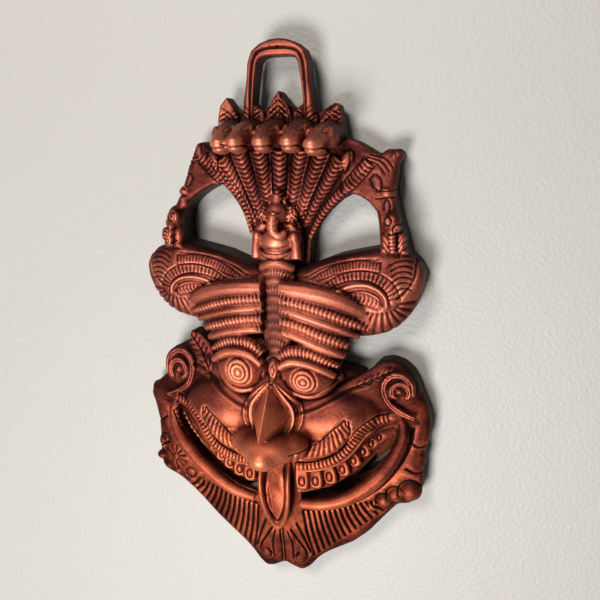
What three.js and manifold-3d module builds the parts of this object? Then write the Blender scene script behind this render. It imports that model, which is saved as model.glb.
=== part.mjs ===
// A cast-brass guardian mask that hangs on a wall: a grinning face with a fringed beard, a stack of
// ribbed brows, a wing on each side, and a fan of snakes with a small seated figure below it.
// It is one casting, hollow behind the face. Millimetres, +Z up, the front faces -Y.
// The origin is on the seat under the hanging loop's crown, where a nail carries the mask.
//
// Places are given as [across, drop]: across from the middle, and down from the loop's top.
// "Out" is the distance in front of the flat back.
import * as THREE from "three";
import { mergeVertices } from "three/addons/utils/BufferGeometryUtils.js";
import Module from "manifold-3d";

const wasm = await Module();
wasm.setup();

// Driving dimensions
const LOOP_THICK = 9.5; // of the loop's bar, seen from the front
const LOOP_BACK = 7; // out, where the loop's back face is
const LOOP_FRONT = 20;
const BACK = (LOOP_BACK + LOOP_FRONT) / 2; // from the origin back to the wall
const WALL = 4.5; // of the casting, over its hollows
const FACE_MIDDLE = 240; // drop of the point that the face's rings are drawn about
const FACE_FRONT = 41; // out, in the middle of the face
const RIM_FRONT = 14; // out, along the edge of the beard
const BROW_HALF = 52; // half the width of the block that carries the brows
const BROW_TOP = 136;
const BROW_LOW = 212;
const BROW_FRONT = 35;
const EYE_ACROSS = 20.5;
const EYE_DROP = 192;
const WING_FRONT = 31;
const HOOD_BACK = 3; // out, of the back of the snakes' fan
const HOOD_FRONT = 15;
const FAN_ROOT = 127; // drop of the point that the snakes spread from
const HEAD_GAP = 14.8; // between neighbouring snake heads
const BRASS = new THREE.MeshStandardMaterial({ color: 0x8a3a1e, roughness: 0.42, metalness: 0.85 });

// A point of the mask, from its place across, out and down.
function spot(across, out, drop) {
  return new THREE.Vector3(across, BACK - out, LOOP_THICK - drop);
}

// A closed geometry as a solid that can be joined and cut.
function solid(geometry) {
  const bare = new THREE.BufferGeometry();
  bare.setAttribute("position", geometry.getAttribute("position"));
  if (geometry.index) bare.setIndex(geometry.index);
  const merged = mergeVertices(bare, 1e-3);
  return new wasm.Manifold(
    new wasm.Mesh({
      numProp: 3,
      vertProperties: merged.getAttribute("position").array,
      triVerts: new Uint32Array(merged.index.array),
    }),
  );
}

// Calls change(vertex) on each vertex of a geometry.
function reshape(geometry, change) {
  const places = geometry.getAttribute("position");
  const vertex = new THREE.Vector3();
  for (let i = 0; i < places.count; i++) {
    change(vertex.fromBufferAttribute(places, i));
    places.setXYZ(i, vertex.x, vertex.y, vertex.z);
  }
  return geometry;
}

// A flat plate with the outline [[across, drop], ...], from one distance out to another.
function plate(outline, back, front) {
  const shape = new THREE.Shape(outline.map(([across, drop]) => new THREE.Vector2(across, -drop)));
  const made = new THREE.ExtrudeGeometry(shape, { depth: front - back, bevelEnabled: false });
  made.rotateX(Math.PI / 2);
  made.translate(0, BACK - back, LOOP_THICK);
  return solid(made);
}

// The same outline on both sides of the middle, drawn from top to bottom on the right.
function bothSides(right) {
  const left = right.filter(([across]) => across > 0.01).map(([across, drop]) => [-across, drop]);
  return [...right, ...left.reverse()];
}

function mirrored(made) {
  return made.mirror([1, 0, 0]);
}

// How far the outline lies from the middle point, in the direction of angle.
function reach(outline, middle, angle) {
  const run = new THREE.Vector2(Math.sin(angle), Math.cos(angle));
  let far = 0;
  outline.forEach(([ax, ad], i) => {
    const [bx, bd] = outline[(i + 1) % outline.length];
    const from = new THREE.Vector2(ax - middle[0], middle[1] - ad);
    const side = new THREE.Vector2(bx - ax, ad - bd);
    const across = run.cross(side);
    if (Math.abs(across) < 1e-9) return;
    const along = from.cross(side) / across;
    const share = from.cross(run) / across;
    if (along > 0 && share >= -1e-6 && share <= 1 + 1e-6) far = Math.max(far, along);
  });
  return far;
}

// A form turned about an outline in place of a circle. The profile's points are [share of the way
// from the middle to the outline, out], from the front pole round to the back pole.
function bossed(outline, middle, profile, segments) {
  const points = profile.map(([share, out]) => new THREE.Vector2(share, out));
  const made = new THREE.LatheGeometry(points, segments);
  const reaches = Array.from({ length: segments }, (_, k) =>
    reach(outline, middle, (2 * Math.PI * k) / segments),
  );
  return solid(
    reshape(made, (v) => {
      const out = v.y;
      const share = Math.hypot(v.x, v.z);
      const turn = Math.atan2(v.x, v.z);
      const step = Math.round((turn / (2 * Math.PI)) * segments);
      const far = reaches[(step + segments) % segments];
      v.copy(
        spot(middle[0] + share * far * Math.sin(turn), out, middle[1] - share * far * Math.cos(turn)),
      );
    }),
  );
}

// A bar of oval section along a curve of [across, out, drop] points. swell gives its half-thickness
// at each share of its length, and deep is how much thicker it is front to back.
function bar(points, swell, { deep = 1, sides = 6, steps = 8 } = {}) {
  const curve = new THREE.CatmullRomCurve3(points.map((p) => spot(...p)));
  const forward = new THREE.Vector3(0, -1, 0);
  return solid(
    reshape(new THREE.CylinderGeometry(1, 1, 1, sides, steps), (v) => {
      const share = v.y + 0.5;
      const along = curve.getTangentAt(share);
      const width = new THREE.Vector3().crossVectors(along, forward).normalize();
      const depth = new THREE.Vector3().crossVectors(width, along).normalize();
      const half = swell(share);
      const at = curve.getPointAt(share);
      at.addScaledVector(width, v.x * half).addScaledVector(depth, v.z * half * deep);
      v.copy(at);
    }),
  );
}

// Half-thicknesses for bar: the same all along but rounded off at both ends, or thinning to a tip.
const roundedEnds = (half) => (share) => half * Math.sqrt(Math.max(0.12, 1 - (2 * share - 1) ** 8));
const taper = (from, to) => (share) => from + (to - from) * share;

// An egg-shaped lump with its middle at [across, out, drop] and half-sizes along the same three.
function lump(middle, halves, detail = 6) {
  const made = new THREE.SphereGeometry(1, detail, Math.ceil(detail / 2));
  made.scale(halves[0], halves[1], halves[2]);
  const at = spot(...middle);
  made.translate(at.x, at.y, at.z);
  return solid(made);
}

// The hanging loop: its crown is thicker than its legs, and square enough inside to seat a nail.
function hangingLoop() {
  const outer = [[22, 46], [21, 34], [19.2, 24], [18.4, 13], [16, 6.5], [11, 2.6], [5, 0.5]];
  const inner = [[5.5, LOOP_THICK], [10, 10.3], [12.2, 13.5], [13.8, 24], [15, 34], [15.5, 46]];
  const right = [[0, 0], ...outer.toReversed(), ...inner.toReversed()];
  const left = right.slice(1).map(([across, drop]) => [-across, drop]).reverse();
  return plate([...right, ...left], LOOP_BACK, LOOP_FRONT);
}

// The fan-shaped sheet behind the snakes, out to the arms' corners. The casting isn't quite the same
// on both sides: the left arm's corner stands higher and nearer the fan.
const SHEET_TOP = [[5, 36], [10, 39], [16, 36], [24, 41], [33, 34.5], [37.5, 44], [38.5, 55]];
const SHEET_RIGHT = [
  [46, 57.5], [59, 65], [58, 80], [48, 87], [43, 87.5], [37, 90.5], [29, 97.5], [22, 106.5], [19, 115],
  [18, 132],
];
const SHEET_LEFT = [
  [41, 64], [50, 66], [55, 78], [46, 83], [40, 82.5], [36, 83], [31, 86.5], [26, 92.5], [22, 101],
  [19, 111], [18, 132],
];

function hoodSheet() {
  const left = [...SHEET_TOP, ...SHEET_LEFT].map(([across, drop]) => [-across, drop]);
  return plate([[0, 29], ...SHEET_TOP, ...SHEET_RIGHT, ...left.reverse()], HOOD_BACK, HOOD_FRONT);
}

// One snake of the fan: its body as a half-round bar, its head thrust forward, its crest behind.
function snake(number) {
  const top = number * 10.6 + Math.sign(number) * 0.8;
  const head = number * HEAD_GAP;
  const body = bar(
    [[top * 0.22, HOOD_FRONT, FAN_ROOT - 8], [top * 0.7, HOOD_FRONT, 92], [top * 1.12, HOOD_FRONT, 58]],
    taper(2.4, 5.2),
    { steps: 2 },
  );
  if (Math.abs(number) > 2) return body;
  const neck = bar(
    [[head, 12, 47], [head, 30, 51], [head, 44, 58]],
    taper(6.4, 5),
    { deep: 0.95, steps: 2 },
  );
  const snout = lump([head, 45, 59.5], [5.6, 6.2, 4.6], 6);
  const crest = plate([[head - 6.5, 50], [head, 31 + 2.2 * Math.abs(number)], [head + 6.5, 50]], 8, 19);
  return body.add(neck).add(snout).add(crest);
}

// An arm leaves the fan's corner as a beak-crested head and comes down and forward to the wing. It is
// thin at the top and deep at the bottom. The crest of the left one points up, and the right one's out.
const ARM_RIGHT = [
  [34, 60], [46, 57.5], [59, 65], [63, 62], [70.5, 62], [72.5, 65.5], [70, 71], [68.7, 85], [71, 97],
  [75, 108], [78, 120.5], [62, 120], [61.5, 112], [60.5, 104], [59, 97], [54, 91.5], [48, 88], [43, 87],
  [38, 88],
];
const ARM_LEFT = [
  [34, 60], [41, 64], [50, 56.8], [55, 60.5], [58, 68.6], [62, 85], [66, 94.6], [69.5, 96.5],
  [72, 101.5], [73, 121], [60, 121], [61.5, 114], [61.8, 105], [60.8, 98], [57, 92.5], [52.5, 89],
  [47, 85.5], [42, 83], [37, 82.5],
];

function arm(outline) {
  const { clamp, mapLinear } = THREE.MathUtils;
  const front = (drop) => mapLinear(clamp(drop, 56, 118), 56, 118, 13, 29);
  const shape = new THREE.Shape(outline.map(([across, drop]) => new THREE.Vector2(across, -drop)));
  const made = new THREE.ExtrudeGeometry(shape, { depth: 1, bevelEnabled: false });
  const slab = solid(
    reshape(made, (v) => {
      const drop = -v.y;
      const out = v.z > 0.5 ? front(drop) : 0;
      v.copy(spot(v.x, out, drop));
    }),
  );
  return slab.add(lump([68, 24, 108], [6.5, 7, 10]));
}

// The wing on the right, a domed shell with raised crescents.
const WING = [
  [8, 131], [20, 128], [31, 125.3], [41, 121.3], [51.5, 118], [60, 115.5], [70, 117], [79, 121],
  [84.5, 126], [87, 132], [86, 140], [83, 148], [79, 155], [73, 161], [66, 165], [56, 167.5], [44, 168.5],
  [30, 160], [12, 150],
];
const WING_MIDDLE = [50, 144];

function wing() {
  const profile = [[0, WING_FRONT], [0.5, 29.5], [0.8, 24], [1, 15], [1, 0], [0, 0]];
  let made = bossed(WING, WING_MIDDLE, profile, 28);
  const crescents = [[29, 15, 31], [21.5, 10.5, 33]];
  for (const [across, high, out] of crescents) {
    const points = [-1, -0.5, 0, 0.5, 0.92].map((share) => {
      const turn = (share * Math.PI) / 2;
      return [50 + across * Math.sin(turn), out - 5 * share ** 2, 150 - high * Math.cos(turn)];
    });
    made = made.add(bar(points, roundedEnds(2.4), { steps: 4, sides: 5 }));
  }
  return made;
}

// A solid with the plan [[across, out], ...] on both sides of the middle, from one drop to another.
// Its low end is narrowed by the factor given.
function planned(right, high, low, narrow = 1) {
  const shape = new THREE.Shape(bothSides(right).map(([across, out]) => new THREE.Vector2(across, -out)));
  const made = new THREE.ExtrudeGeometry(shape, { depth: 1, bevelEnabled: false });
  return solid(
    reshape(made, (v) => {
      const atTop = v.z > 0.5;
      v.copy(spot(v.x * (atTop ? 1 : narrow), -v.y, atTop ? high : low));
    }),
  );
}

// The hollow behind the wing.
function wingHollow() {
  const profile = [[0, WING_FRONT - WALL], [0.45, 29.5 - WALL], [0.74, 16], [0.74, -2], [0, -2]];
  return bossed(WING, WING_MIDDLE, profile, 14);
}

// The block behind the brows, curved back at both ends.
function browBlock() {
  const plan = [
    [0, BROW_FRONT], [18, BROW_FRONT], [32, 32], [BROW_HALF - 6, 26], [BROW_HALF, 17], [BROW_HALF, 0],
  ];
  return planned(plan, BROW_TOP, BROW_LOW, 0.72);
}

// One brow band on the right. It droops and runs back as it goes outwards.
function brow({ drop, droop, end, half, out }) {
  const points = [0, 0.3, 0.6, 0.85, 1].map((share) => {
    const across = 6 + (end - 6) * share;
    return [across, out - 14 * share ** 3, drop + droop * share ** 2];
  });
  return bar(points, roundedEnds(half), { deep: 1.35, steps: 4, sides: 5 });
}

const BROWS = [
  { drop: 141, droop: 9.5, end: 50, half: 4.3, out: 38 },
  { drop: 147.4, droop: 8.5, end: 47, half: 3.3, out: 39 },
  { drop: 154.2, droop: 7.2, end: 43, half: 2.2, out: 38 },
  { drop: 160.2, droop: 7.5, end: 41.5, half: 3.2, out: 39 },
  { drop: 167.4, droop: 6.4, end: 37.5, half: 2.7, out: 38 },
];

// The right eye, a ball with a ringed pupil under a ribbed lid.
function eye() {
  const ball = lump([EYE_ACROSS, 28, EYE_DROP], [16.5, 13.5, 13], 10);
  const ring = lump([EYE_ACROSS, 38, EYE_DROP + 0.5], [8, 5, 7.5], 8);
  const pupil = lump([EYE_ACROSS, 41, EYE_DROP + 0.5], [3.4, 4, 3.4]);
  const lids = [[176.5, 3, 40], [182.4, 2.6, 41]].map(([drop, half, out]) =>
    bar(
      [
        [4, out - 6, drop + 4], [12, out, drop - 0.5], [22, out + 1, drop], [31, out - 4, drop + 3],
        [37.5, out - 12, drop + 6.5],
      ],
      roundedEnds(half),
      { deep: 1.3, steps: 5 },
    ),
  );
  return lids.reduce((made, lid) => made.add(lid), ball.add(ring).add(pupil));
}

// The strip between the brows, narrowing downwards, with the knob that the seated figure rests on.
function browStrip() {
  const strip = plate([[-9.5, 128], [9.5, 128], [7.5, 166], [6.5, 198], [-6.5, 198], [-7.5, 166]], 20, 38.5);
  return strip.add(lump([0, 37, 134.5], [8, 4.5, 4.2]));
}

// The face below the brows, right half of its outline.
const FACE = [
  [0, 184], [30, 185], [46, 191], [60, 187], [66, 185.5], [74, 184.5], [81, 189], [85, 197], [88, 206],
  [91.5, 214], [93, 222], [91, 231], [88.5, 240], [88.5, 254], [89, 264], [86, 272], [80.5, 276],
  [74, 277], [69, 281], [60, 290.5], [48, 303], [36, 312], [28, 317.5], [22, 323], [17, 330.5],
  [12, 334], [7, 332.8], [0, 328.5],
];

function faceForm() {
  const profile = [
    [0, FACE_FRONT - 3], [0.45, FACE_FRONT - 7], [0.66, 25.5], [0.86, 19.5], [1, RIM_FRONT], [1, 0], [0, 0],
  ];
  return bossed(bothSides(FACE), [0, FACE_MIDDLE], profile, 56);
}

// The hollow behind the face and the brows.
function hollow() {
  const share = 0.86;
  const profile = [
    [0, FACE_FRONT - 3 - WALL], [0.44, FACE_FRONT - 7 - WALL], [0.64, 20], [share, 12], [share, -2], [0, -2],
  ];
  const behindFace = bossed(bothSides(FACE), [0, FACE_MIDDLE], profile, 36);
  const plan = [[0, 28], [22, 27], [32, 20], [36, 10], [36, -2]];
  return behindFace.add(planned(plan, BROW_TOP + 7, BROW_LOW - 8, 0.8));
}

// The right cheek, a smooth dome under the eye and over the moustache.
function cheek() {
  return lump([32, 24, 222], [27, 15.5, 21], 10);
}

// The nose: a ridged lozenge on the bridge over a broad bulb with two wings.
function nose() {
  const lozenge = new THREE.ConeGeometry(1, 1, 4, 1);
  reshape(lozenge, (v) => {
    const tall = v.z > 0 ? 17 : 15;
    v.copy(spot(v.x * 11.5, 34 + (v.y + 0.5) * 19, 216 + v.z * tall));
  });
  const bridge = bar([[0, 36, 198], [0, 42, 216], [0, 46, 232]], taper(7, 13), { deep: 0.7, steps: 3 });
  const bulb = lump([0, 48, 236], [15, 13, 9.5], 10);
  const flare = lump([13.5, 42, 236.5], [10, 9, 8], 8);
  return solid(lozenge).add(bridge).add(bulb).add(flare).add(mirrored(flare));
}

// The right half of the moustache: a feather above a long curling band.
function moustache() {
  const feather = bar(
    [[17, 41, 236], [30, 41, 235], [41, 38, 229], [48, 33, 218.5]],
    (share) => 5.2 * Math.sqrt(Math.max(0.03, 1 - share ** 3)),
    { deep: 0.7, steps: 4, sides: 5 },
  );
  const band = bar(
    [
      [14, 43, 248], [30, 41, 247.5], [42, 38, 242], [50, 35, 233], [59, 31, 222.5], [69, 26, 216.5],
      [77, 21, 212],
    ],
    (share) => 3.9 - 1.6 * share,
    { deep: 1, steps: 8, sides: 5 },
  );
  return feather.add(band);
}

// The right half of the mouth: the lower lip, and the opening above it that goes right through.
const LIP = [[15, 284], [30, 281], [48, 272], [62, 259], [73, 244], [79, 230], [79, 219]];
const SLOT = [
  [15, 274], [30, 270.5], [46, 261.5], [57, 251], [65, 242], [68.5, 246], [60, 258], [46, 269.5],
  [30, 277.5], [14, 279.5],
];

function lip() {
  const points = LIP.map(([across, drop], i) => [across, 31 - 1.9 * i, drop]);
  return bar(points, roundedEnds(4.2), { deep: 1.2, steps: 6 });
}

function tongue() {
  return bar(
    [[0, 34, 250], [0, 41, 264], [0, 37, 282], [0, 28, 297]],
    (share) => 10.2 * Math.sqrt(Math.max(0.02, 1 - share ** 2.6)),
    { deep: 0.5, sides: 8, steps: 6 },
  );
}

// The fringe of the beard: pleats that spread from under the mouth to the edge.
function pleats() {
  const right = bothSides(FACE);
  const count = 8;
  let made;
  for (let k = 0; k < count; k++) {
    const turn = THREE.MathUtils.mapLinear(k, 0, count - 1, Math.PI - 0.33, Math.PI * 0.66);
    const far = reach(right, [0, FACE_MIDDLE], turn);
    const along = (share) => [far * share * Math.sin(turn), FACE_MIDDLE - far * share * Math.cos(turn)];
    const [innerAcross, innerDrop] = along(0.66);
    const [outerAcross, outerDrop] = along(0.975);
    const pleat = bar(
      [[innerAcross, 25.5, innerDrop], [outerAcross, RIM_FRONT, outerDrop]],
      taper(2.2, 3.3),
      { deep: 1, steps: 1 },
    );
    made = made ? made.add(pleat) : pleat;
  }
  return made;
}

// The scroll on the right cheek's corner, the leaf above it, the lobes down the side and the fist.
function cheekOrnament() {
  const turns = Array.from({ length: 8 }, (_, k) => {
    const turn = 0.6 + k * 0.72;
    const size = 13.2 - k * 1.15;
    return [72 + size * Math.cos(turn), 21, 199 - size * Math.sin(turn)];
  });
  const scroll = bar(turns, taper(3, 2), { steps: 10, sides: 4 });
  const leaf = plate([[46, 196], [47, 186], [52, 179], [58, 176], [62, 184], [60, 194], [54, 201]], 4, 19);
  const lobes = [[83, 226, 6.5, 9], [82.5, 246, 5, 8]].map(([across, drop, wide, tall]) =>
    lump([across, 14, drop], [wide, 6.5, tall]),
  );
  const fist = [[80, 269, 7], [70, 270.5, 5.5], [61.5, 275.5, 5]].map(([across, drop, size]) =>
    lump([across, 14.5, drop], [size, size, size * 0.95]),
  );
  return [leaf, ...lobes, ...fist].reduce((made, piece) => made.add(piece), scroll);
}

// The seated figure: a generic elephant-headed guardian in front of the fan's root.
function seatedFigure() {
  const niche = plate(bothSides([[0, 88], [8, 97], [15.5, 108], [15, 129]]), HOOD_BACK, 22);
  const pieces = [
    lump([0, 26, 100], [6, 5.5, 6.5]),
    lump([0, 27, 92.5], [3.6, 4, 4.5]),
    lump([0, 26, 117], [8.4, 6.5, 7.5], 7),
    lump([0, 25, 126], [13, 7, 4.2], 7),
    bar(
      [[0, 30, 102], [-0.6, 32, 109], [2.5, 32.5, 113], [5.5, 31, 110]],
      taper(2.9, 1.4),
      { steps: 4, sides: 5 },
    ),
  ];
  const right = [
    lump([7.5, 24, 101], [4, 2.4, 4.8]),
    bar([[5, 24, 110], [11, 24, 113], [9.5, 25, 120]], () => 2.8, { steps: 2, sides: 5 }),
  ];
  const sides = right.flatMap((piece) => [piece, mirrored(piece)]);
  return [...pieces, ...sides].reduce((made, piece) => made.add(piece), niche);
}

// The casting, joined from its parts and then hollowed.
function casting() {
  const rightSide = [
    wing(),
    ...BROWS.map(brow),
    eye(),
    cheek(),
    moustache(),
    lip(),
    pleats(),
    cheekOrnament(),
  ];
  const middle = [
    hangingLoop(),
    hoodSheet(),
    ...[-3, -2, -1, 0, 1, 2, 3].map(snake),
    arm(ARM_RIGHT),
    mirrored(arm(ARM_LEFT)),
    seatedFigure(),
    browBlock(),
    browStrip(),
    faceForm(),
    nose(),
    tongue(),
  ];
  let whole = middle.reduce((made, piece) => made.add(piece));
  for (const piece of rightSide) whole = whole.add(piece).add(mirrored(piece));
  const slot = plate(SLOT, -2, 45);
  const cuts = [wingHollow(), slot].flatMap((cut) => [cut, mirrored(cut)]);
  return cuts.reduce((left, cut) => left.subtract(cut), whole.subtract(hollow()));
}

function meshOf(name, made) {
  const { vertProperties, triVerts, numProp } = made.getMesh();
  if (numProp !== 3) throw new Error("the solid carries more than places");
  const geometry = new THREE.BufferGeometry();
  geometry.setAttribute("position", new THREE.BufferAttribute(new Float32Array(vertProperties), 3));
  geometry.setIndex([...triVerts]);
  geometry.computeVertexNormals();
  const mesh = new THREE.Mesh(geometry, BRASS);
  mesh.name = name;
  return mesh;
}

const mask = new THREE.Group();
mask.add(meshOf("mask", casting()));

export default mask;
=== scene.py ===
"""A cast-brass guardian mask on a pale wall: the looks of the casting.

The casting's masses are modelled one by one, joined, and fused into one skin. The skin is hollowed
from behind, and its fine carving is then cut into it along curves, as a caster cuts a wax.

While it is being modelled the mask is in millimetres: x is the distance across from the middle,
-y is the distance out from the flat back, and -z is the drop below the loop's top. A place is given
as (across, out, drop), and a place on the front, as (across, drop).
"""

import math

import bpy
import numpy as np
from mathutils import Matrix, Vector


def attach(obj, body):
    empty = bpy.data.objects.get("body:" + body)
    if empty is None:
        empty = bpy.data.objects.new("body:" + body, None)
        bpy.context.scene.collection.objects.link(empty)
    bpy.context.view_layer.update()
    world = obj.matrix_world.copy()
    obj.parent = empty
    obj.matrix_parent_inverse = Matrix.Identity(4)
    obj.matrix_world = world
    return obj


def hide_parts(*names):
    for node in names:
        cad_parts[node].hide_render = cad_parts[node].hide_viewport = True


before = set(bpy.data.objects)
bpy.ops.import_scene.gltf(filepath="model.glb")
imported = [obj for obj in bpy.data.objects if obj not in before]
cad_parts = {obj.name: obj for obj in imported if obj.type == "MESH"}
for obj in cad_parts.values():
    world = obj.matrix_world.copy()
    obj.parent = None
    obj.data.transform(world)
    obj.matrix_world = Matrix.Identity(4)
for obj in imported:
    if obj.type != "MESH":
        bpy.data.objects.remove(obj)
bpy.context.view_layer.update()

# Driving sizes, in millimetres
BACK_PLANE = 13.5  # from the nail's seat back to the wall
LOOP_THICK = 9.5
SKIN = 0.45  # spacing of the fused skin
WALL = 4.5
CUT = 0.8  # how deep the carving goes, as a share of the depths written with each stroke
TRIANGLES = 196000
FACE_MIDDLE = (0.0, 225.0)
WING_MIDDLE = (55.0, 141.0)
COLUMN_MIDDLE = 1.4  # the column stands a little to the right
MILLIMETRE = 0.001

parts = []


def spot(across, out, drop):
    """A place of the mask while it is modelled."""
    return Vector((across, -out, -drop))


def take(piece):
    """Adds a finished mass to the casting."""
    parts.append(piece)
    return piece


def both(piece):
    """Keeps a mass on the right, and adds a copy of it on the left."""
    twin = piece.copy()
    twin.data = piece.data.copy()
    bpy.context.collection.objects.link(twin)
    twin.data.transform(piece.matrix_basis)
    twin.matrix_basis = Matrix.Identity(4)
    twin.data.transform(Matrix.Scale(-1, 4, (1, 0, 0)))
    twin.data.flip_normals()
    take(twin)


def mirrored_only(piece):
    """Moves a mass that was modelled on the right over to the left."""
    both(piece)
    parts.remove(piece)
    bpy.data.objects.remove(piece)


def taken_back(first):
    """The masses made since a count, which stop being part of the casting."""
    group = parts[first:]
    del parts[first:]
    return group


def lump(across, out, drop, wide, deep, tall, lean=0):
    """An egg-shaped mass, leaning clockwise by some degrees as seen from the front."""
    bpy.ops.mesh.primitive_uv_sphere_add(
        segments=24,
        ring_count=14,
        location=spot(across, out, drop),
        rotation=(0, math.radians(lean), 0),
        scale=(wide, deep, tall),
    )
    return take(bpy.context.object)


def flat_face(outline, out):
    """One face with an outline of (across, drop) points, left in edit mode to be shaped."""
    bpy.ops.mesh.primitive_circle_add(vertices=len(outline), fill_type="NGON")
    piece = bpy.context.object
    for vertex, (across, drop) in zip(piece.data.vertices, outline):
        vertex.co = spot(across, out, drop)
    bpy.ops.object.mode_set(mode="EDIT")
    bpy.ops.mesh.select_all(action="SELECT")
    return piece


def closed_up(piece):
    """Ends the shaping of a mass, with its faces pointing outwards."""
    bpy.ops.mesh.select_all(action="SELECT")
    bpy.ops.mesh.normals_make_consistent(inside=False)
    bpy.ops.object.mode_set(mode="OBJECT")
    return take(piece)


def slab(outline, back, front, bevel=1.0):
    """A flat plate with an outline of (across, drop) points, rounded along its front edge."""
    piece = flat_face(outline, back)
    bpy.ops.mesh.extrude_region_move(TRANSFORM_OT_translate={"value": (0, back - front, 0)})
    if bevel:
        bpy.ops.mesh.bevel(offset=bevel, segments=3, clamp_overlap=True)
    return closed_up(piece)


def dome(outline, middle, profile):
    """A plate with an outline, drawn in and forward step by step by a profile of (share, out)."""
    piece = flat_face(outline, profile[0][1])
    pivot = spot(middle[0], 0, middle[1])
    for (share_before, out_before), (share, out) in zip(profile, profile[1:]):
        bpy.ops.mesh.extrude_region_move(TRANSFORM_OT_translate={"value": (0, out_before - out, 0)})
        ratio = share / share_before
        bpy.ops.transform.resize(value=(ratio, 1, ratio), center_override=pivot)
    return closed_up(piece)


def bar(points, halves, deep=1.0):
    """A round bar through (across, out, drop) points. deep thickens or flattens it front to back."""
    bpy.ops.curve.primitive_bezier_curve_add()
    piece = bpy.context.object
    curve = piece.data
    curve.dimensions = "3D"
    curve.bevel_depth = 1.0
    curve.bevel_resolution = 3
    curve.resolution_u = 8
    curve.use_fill_caps = True
    knots = curve.splines[0].bezier_points
    knots.add(len(points) - 2)
    for knot, (across, out, drop), half in zip(knots, points, halves):
        knot.co = spot(across, out / deep, drop)
        knot.handle_left_type = "AUTO"
        knot.handle_right_type = "AUTO"
        knot.radius = half
    bpy.ops.object.convert(target="MESH")
    piece = bpy.context.object
    piece.data.transform(Matrix.Scale(deep, 4, (0, 1, 0)))
    return take(piece)


def smooth_path(points, step=0.35):
    """Evenly spaced points on a smooth curve through the points given, of any number of axes."""
    knots = np.array(points, float)
    if len(knots) == 2:
        middle = (knots[0] + knots[1]) / 2
        knots = np.array([knots[0], middle, knots[1]])
    first = 2 * knots[0] - knots[1]
    last = 2 * knots[-1] - knots[-2]
    knots = np.vstack([first, knots, last])
    found = []
    for before, start, end, after in zip(knots, knots[1:], knots[2:], knots[3:]):
        count = max(2, int(np.linalg.norm((end - start)[:2]) / step))
        t = np.linspace(0, 1, count, endpoint=False)[:, None]
        found.append(
            0.5
            * (
                2 * start
                + (end - before) * t
                + (2 * before - 5 * start + 4 * end - after) * t**2
                + (3 * start - before - 3 * end + after) * t**3
            )
        )
    found.append(knots[-2][None])
    return np.vstack(found)


# The hanging loop, the snakes and their fan

HEAD_PLACES = ((-29.8, 0.6, 8), (-15.8, 0, 0), (-0.4, 0, 0), (15.6, 0, 0), (32.4, 1.6, -6))
CREST = ((-7.6, 50), (-7.2, 41), (-3.6, 33.5), (0, 28.6), (3.6, 33.5), (7.2, 41), (7.6, 50))
OUTER_CREST = ((24, 56), (24.6, 46), (28.3, 41.4), (35.7, 36.4), (37.9, 45), (38.6, 56))
LEG_CREST = ((8, 50), (8.8, 41), (12, 38), (16, 35.5), (21, 39), (23.5, 44), (23, 50))
LEFT_CREST = ((-38.3, 55), (-38, 44), (-36.6, 36.6), (-32.3, 31.6), (-29, 36), (-25, 43), (-24, 55))
SHEET_TOP = ((5, 36), (10, 39), (16, 36), (24, 41), (33, 35.5), (37.5, 44), (38.5, 55))
SHEET_RIGHT = (
    (46, 57.5), (59, 65), (58, 80), (48, 87), (43, 87.5), (37, 90.5), (29, 97.5), (22, 106.5),
    (19, 115), (18, 132),
)
SHEET_LEFT = (
    (41, 64), (50, 66), (55, 78), (46, 83), (40, 82.5), (36, 83), (31, 86.5), (26, 92.5),
    (22, 101), (19, 111), (18, 132),
)
NECK_RIGHT = ((53.5, 69), (46, 78), (38, 86), (30, 94), (23, 104), (18, 114))
NECK_LEFT = ((49, 66.5), (41.5, 73.5), (34.5, 80), (28, 87.5), (22, 98), (18, 112))
ARM_RIGHT = (
    (34, 60), (46, 57.5), (59, 65), (63, 62), (70.5, 62), (72.5, 65.5), (70, 71), (68.7, 85),
    (71, 97), (75, 108), (78, 120.5), (62, 120), (61.5, 112), (60.5, 104), (59, 97), (54, 91.5),
    (48, 88), (43, 87), (38, 88),
)
ARM_LEFT = (
    (34, 60), (41, 64), (50, 56.8), (55, 60.5), (58, 68.6), (62, 85), (66, 94.6), (69.5, 96.5),
    (72, 101.5), (73, 121), (60, 121), (61.5, 114), (61.8, 105), (60.8, 98), (57, 92.5),
    (52.5, 89), (47, 85.5), (42, 83), (37, 82.5),
)


def turned_over(outline):
    return [(-across, drop) for across, drop in reversed(outline)]


def hanging_loop():
    outer = ((22, 46), (21, 34), (19.2, 24), (18.4, 13), (16, 6.5), (11, 2.6), (5, 0.5))
    inner = ((5.5, LOOP_THICK), (10, 10.3), (12.2, 13.5), (13.8, 24), (15, 34), (15.5, 46))
    right = [(0, 0), *reversed(outer), *reversed(inner)]
    slab([*right, *turned_over(right[1:])], 7, 20, 1.6)


def snake_head(across, droop, turn):
    """One head, thrust forward from its crest, turned about the upright by some degrees."""
    first = len(parts)
    bar(((0, 10, 51.4), (0, 23, 51.6), (0, 36, 53.6), (0, 47, 57.6)), (7.6, 7.3, 6.3, 4.8), 0.95)
    lump(0, 46.5, 57.8, 5.6, 6.6, 4.5)
    lump(0, 42.5, 61.2, 5.2, 8.6, 2.8)
    both(lump(5, 30, 55, 3.6, 7, 4.2))
    both(lump(4.4, 35, 50, 2.6, 4.2, 2.1))
    both(lump(6, 36, 52.4, 1.8, 2.2, 1.9))
    pivot = Matrix.Translation(spot(0, 12, 0))
    place = Matrix.Translation(Vector((across, 0, -droop)))
    swing = pivot @ Matrix.Rotation(math.radians(turn), 4, "Z") @ pivot.inverted()
    for piece in parts[first:]:
        piece.data.transform(piece.matrix_basis)
        piece.matrix_basis = Matrix.Identity(4)
        piece.data.transform(place @ swing)


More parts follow.
